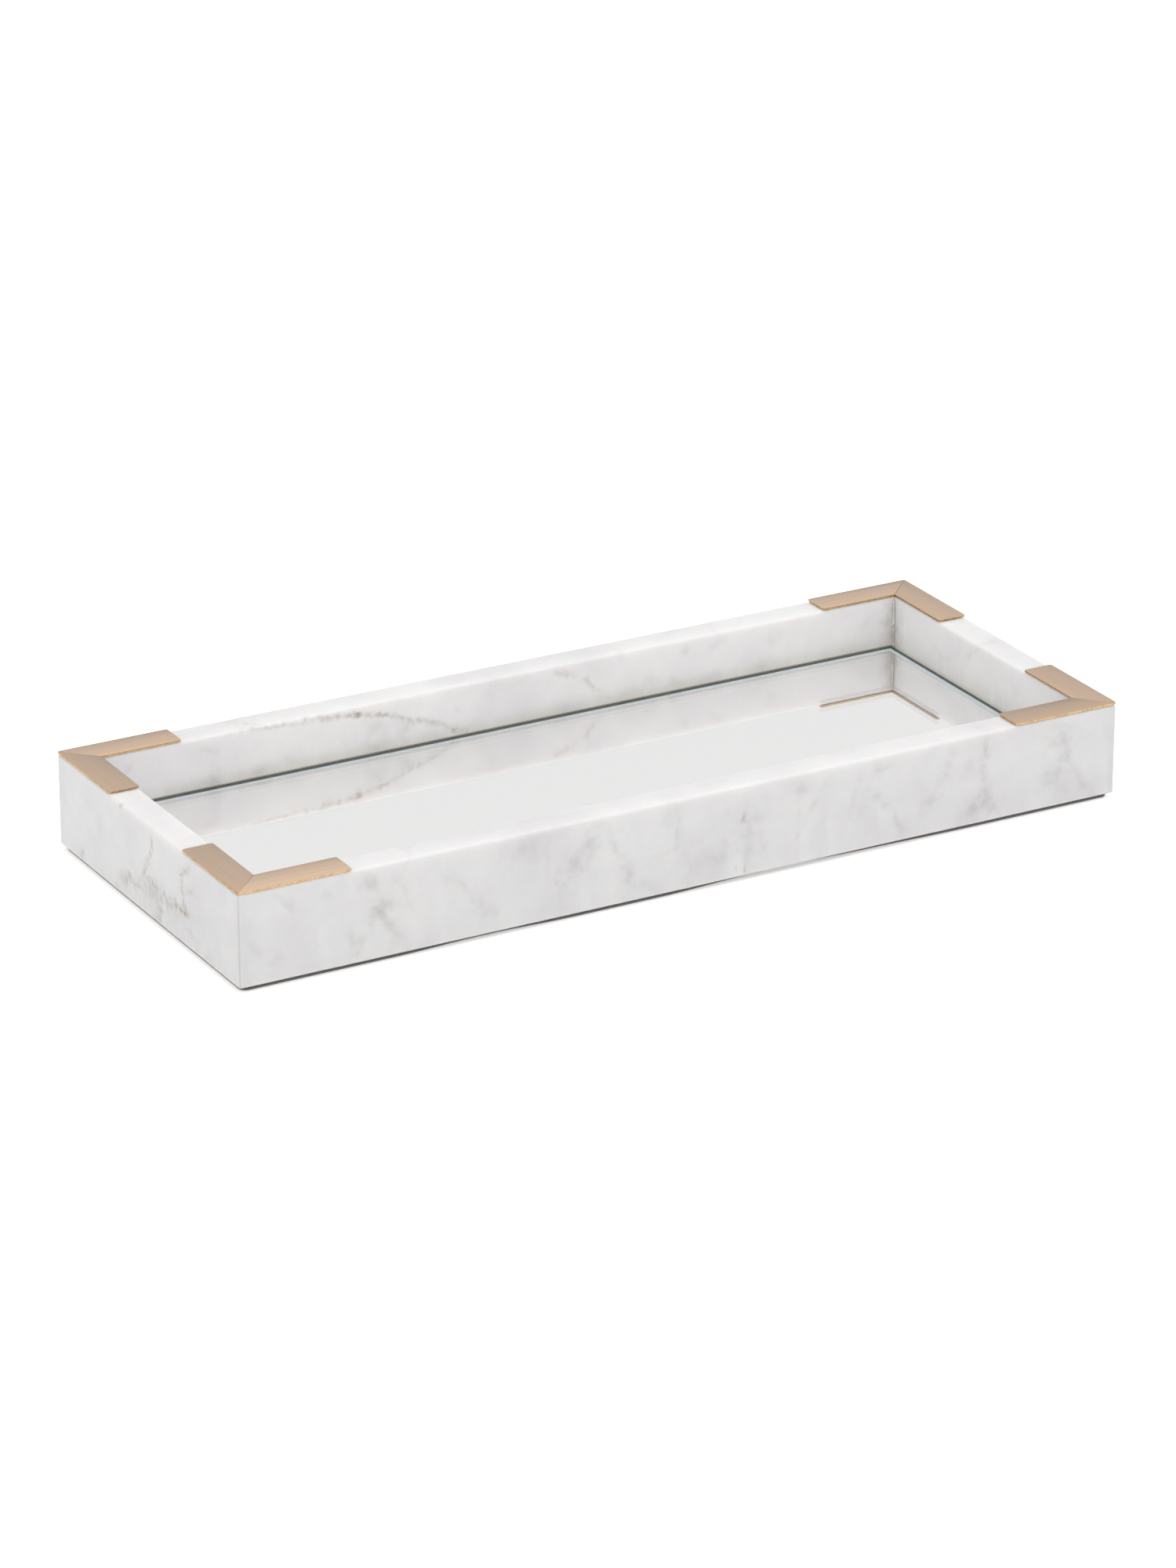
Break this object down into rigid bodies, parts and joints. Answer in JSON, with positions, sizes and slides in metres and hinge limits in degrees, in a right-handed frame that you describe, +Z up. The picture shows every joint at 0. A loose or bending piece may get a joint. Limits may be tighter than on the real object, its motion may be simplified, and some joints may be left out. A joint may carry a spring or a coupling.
{
  "type": "vanity tray",
  "caption": "Long narrow dresser tray: a mitred marble frame with brass strips on its corners round a mirror floor, felt underneath.",
  "frame": {"origin": "middle of the felt's lower face, where the tray stands", "axes": "+X along the tray, +Y across it from front to back, +Z up"},
  "size_m": [0.381, 0.1554, 0.0399],
  "materials": {
    "marble": "honed white marble with soft grey and taupe veins",
    "stone_glue": "cured stone adhesive, dull",
    "strip_glue": "thin dark contact adhesive",
    "brass": "champagne brass, brushed along each strip, edges bright",
    "board": "raw fibreboard",
    "foam_tape": "white double-sided foam tape",
    "mirror_silver": "silvered back with grey backing paint",
    "mirror_glass": "clear float glass with a green edge, seamed",
    "felt": "black needled felt"
  },
  "bodies": {
    "root": {"front_rail": "marble", "right_rail": "marble", "back_rail": "marble", "left_rail": "marble", "mitre_glue_front_left": "stone_glue", "strip_glue_front_left": "strip_glue", "front_left_strip_front": "brass", "front_left_strip_left": "brass", "mitre_glue_front_right": "stone_glue", "strip_glue_front_right": "strip_glue", "front_right_strip_right": "brass", "front_right_strip_front": "brass", "mitre_glue_back_right": "stone_glue", "strip_glue_back_right": "strip_glue", "back_right_strip_back": "brass", "back_right_strip_right": "brass", "mitre_glue_back_left": "stone_glue", "strip_glue_back_left": "strip_glue", "back_left_strip_left": "brass", "back_left_strip_back": "brass", "glue_bead_back_right": "stone_glue", "base_board": "board", "board_glue": "stone_glue", "mirror_tape_front": "foam_tape", "mirror_tape_back": "foam_tape", "mirror_silver": "mirror_silver", "mirror_glass": "mirror_glass", "felt_underlay": "felt"}
  },
  "joints": []
}
